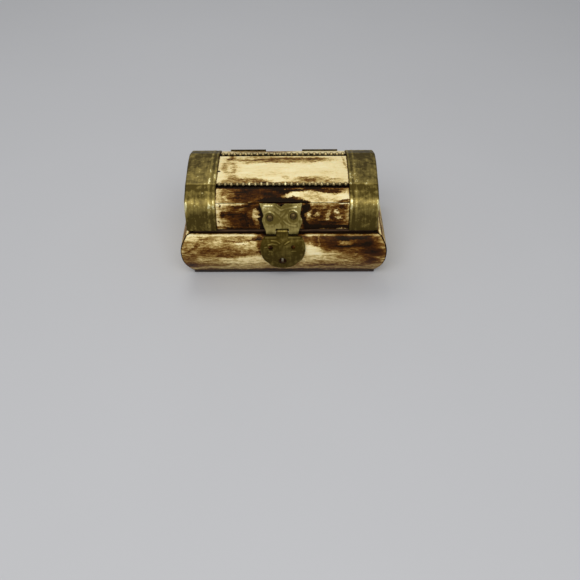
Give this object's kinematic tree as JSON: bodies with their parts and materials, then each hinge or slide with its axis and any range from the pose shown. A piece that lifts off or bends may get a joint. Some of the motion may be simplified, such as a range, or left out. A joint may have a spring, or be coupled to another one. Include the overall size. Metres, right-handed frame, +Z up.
{
  "type": "bone trinket box",
  "caption": "Small wooden trinket box clad in bone, with swelling mitred sides, a hinged faceted lid, brass end bands, beaded wires and a shield-shaped hasp.",
  "frame": {"origin": "middle of the box body's underside, on the felt", "axes": "+X along the box to its right end, -Y out of the front with the hasp, +Z up"},
  "size_m": [0.102, 0.0693, 0.0463],
  "materials": {
    "bone": "cream camel bone, polished, with burnt brown stain",
    "wood": "dark stained softwood, bare",
    "brass": "antiqued sheet brass, embossed and rubbed",
    "dark_brass": "darkened sheet brass, rubbed at the edges",
    "nail": "dull brown domed nail",
    "velvet": "wine red velvet",
    "felt": "black felt"
  },
  "bodies": {
    "box_body": {"base_felt": "felt", "base_board": "wood", "front_board": "wood", "rear_board": "wood", "left_board": "wood", "right_board": "wood", "body_lining": "velvet", "front_bone_panel": "bone", "rear_bone_panel": "bone", "left_bone_panel": "bone", "right_bone_panel": "bone", "hasp_staple": "brass", "left_hinge_body_leaf": "brass", "right_hinge_body_leaf": "brass", "left_hinge_pin": "brass", "right_hinge_pin": "brass", "body_hinge_nail_1": "nail", "body_hinge_nail_2": "nail", "body_hinge_nail_3": "nail", "body_hinge_nail_4": "nail"},
    "lid": {"lid_top_board": "wood", "lid_front_upper_board": "wood", "lid_front_lower_board": "wood", "lid_rear_upper_board": "wood", "lid_rear_lower_board": "wood", "lid_top_bone": "bone", "lid_front_upper_bone": "bone", "lid_front_lower_bone": "bone", "lid_rear_upper_bone": "bone", "lid_rear_lower_bone": "bone", "lid_left_end_bone": "bone", "lid_right_end_bone": "bone", "lid_left_end_board": "wood", "lid_right_end_board": "wood", "lid_left_end_lining": "velvet", "lid_right_end_lining": "velvet", "lid_lining": "velvet", "left_brass_band": "dark_brass", "right_brass_band": "dark_brass", "front_bead_wire": "dark_brass", "rear_bead_wire": "dark_brass", "left_hinge_lid_leaf": "brass", "right_hinge_lid_leaf": "brass", "lid_hinge_nail_1": "nail", "lid_hinge_nail_2": "nail", "lid_hinge_nail_3": "nail", "lid_hinge_nail_4": "nail", "hasp_plate": "brass", "hasp_plate_nail_1": "nail", "hasp_plate_nail_2": "nail", "hasp_pin": "brass"},
    "hasp": {"hasp_leaf": "dark_brass"}
  },
  "joints": [
    {"name": "lid_hinge", "type": "hinge", "parent": "box_body", "child": "lid", "pos_m": [0, 0.029, 0.0286], "axis": [-1, 0, 0], "range_deg": [0, 100]},
    {"name": "hasp_hinge", "type": "hinge", "parent": "lid", "child": "hasp", "pos_m": [-0.0006, -0.029, 0.0286], "axis": [-1, 0, 0], "range_deg": [0, 100]}
  ]
}
